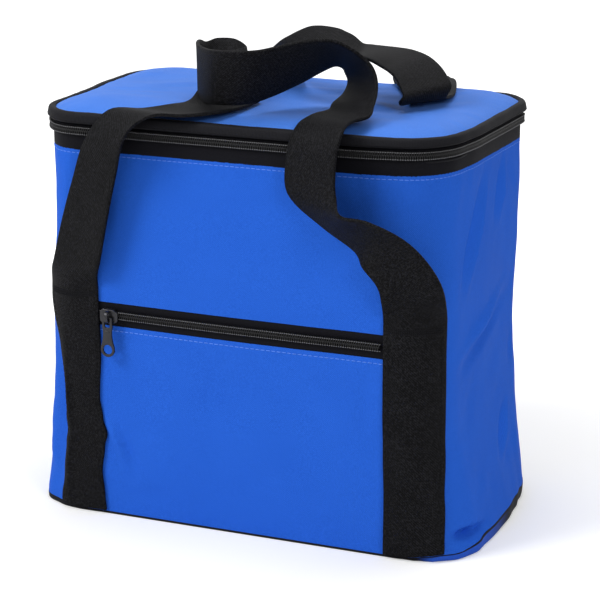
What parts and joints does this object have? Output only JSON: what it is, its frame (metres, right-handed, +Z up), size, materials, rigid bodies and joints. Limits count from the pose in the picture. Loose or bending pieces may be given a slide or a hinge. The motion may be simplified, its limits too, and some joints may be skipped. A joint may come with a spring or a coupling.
{
  "type": "vaccine carrier",
  "caption": "Soft-sided insulated carrier with a padded zipped lid, a zipped front pocket and webbing carry handles that lie folded over the lid.",
  "frame": {"origin": "middle of the underside", "axes": "+X to the right as seen from the front, front faces -Y, +Z up"},
  "size_m": [0.2809, 0.2076, 0.306],
  "materials": {
    "blue_fabric": "woven polyester, slight sheen",
    "black_trim": "woven tape",
    "webbing": "twill-woven webbing",
    "thread": "close stitches",
    "zip_coil": "nylon coil",
    "zip_metal": "dark gun-metal plating",
    "foam": "closed-cell foam",
    "lining": "wipe-clean film",
    "board": "stiff sheet"
  },
  "bodies": {
    "bag": {"base_panel": "black_trim", "base_binding": "black_trim", "base_board": "board", "base_foam": "foam", "front_foam": "foam", "rear_foam": "foam", "left_foam": "foam", "right_foam": "foam", "liner_tub": "lining", "mouth_binding": "black_trim", "front_upper_panel": "blue_fabric", "front_pocket_panel": "blue_fabric", "pocket_backing": "lining", "left_side_panel": "blue_fabric", "right_side_panel": "blue_fabric", "rear_panel": "blue_fabric", "lid_zip_lower_tape": "black_trim", "lid_zip_lower_coil": "zip_coil", "lid_zip_stops": "zip_coil", "lid_hinge_strip": "black_trim", "pocket_zip_upper_tape": "black_trim", "pocket_zip_lower_tape": "black_trim", "pocket_zip_upper_coil": "zip_coil", "pocket_zip_lower_coil": "zip_coil", "front_strap_left": "webbing", "front_strap_right": "webbing", "rear_strap_left": "webbing", "rear_strap_right": "webbing", "strap_bartacks": "thread"},
    "lid": {"lid_top_panel": "blue_fabric", "lid_foam": "foam", "lid_liner": "lining", "lid_binding": "black_trim", "lid_zip_upper_tape": "black_trim", "lid_zip_upper_coil": "zip_coil"},
    "front_handle": {"front_handle": "webbing"},
    "rear_handle": {"rear_handle": "webbing"},
    "pocket_slider": {"pocket_slider": "zip_metal"},
    "pocket_pull": {"pocket_pull": "zip_metal"},
    "lid_slider": {"lid_slider": "zip_metal"},
    "lid_pull": {"lid_pull": "zip_metal"}
  },
  "joints": [
    {"name": "lid_hinge", "type": "hinge", "parent": "bag", "child": "lid", "pos_m": [0, 0.0806, 0.2425], "axis": [-1, 0, 0], "range_deg": [0, 105], "deforming": ["lid_hinge_strip"]},
    {"name": "front_handle_swing", "type": "hinge", "parent": "bag", "child": "front_handle", "pos_m": [0, -0.0835, 0.1453], "axis": [1, 0, 0], "range_deg": [0, 131], "deforming": ["front_handle"]},
    {"name": "rear_handle_swing", "type": "hinge", "parent": "bag", "child": "rear_handle", "pos_m": [0, 0.0835, 0.1453], "axis": [-1, 0, 0], "range_deg": [0, 131], "deforming": ["rear_handle"]},
    {"name": "pocket_slider_slide", "type": "slide", "parent": "bag", "child": "pocket_slider", "axis": [1, 0, 0], "range_m": [0, 0.168]},
    {"name": "pocket_pull_swing", "type": "hinge", "parent": "pocket_slider", "child": "pocket_pull", "pos_m": [-0.084, -0.0868, 0.1284], "axis": [-1, 0, 0], "range_deg": [0, 160]},
    {"name": "lid_slider_slide", "type": "slide", "parent": "bag", "child": "lid_slider", "axis": [0, -1, 0], "range_m": [0, 0.088]},
    {"name": "lid_pull_swing", "type": "hinge", "parent": "lid_slider", "child": "lid_pull", "pos_m": [-0.1402, 0.044, 0.2413], "axis": [0, 1, 0], "range_deg": [0, 160]}
  ],
  "couplings": [
    {"joint": "front_handle_swing", "follows": "lid_hinge", "ratio": 1.24},
    {"joint": "rear_handle_swing", "follows": "lid_hinge", "ratio": 1.24}
  ]
}
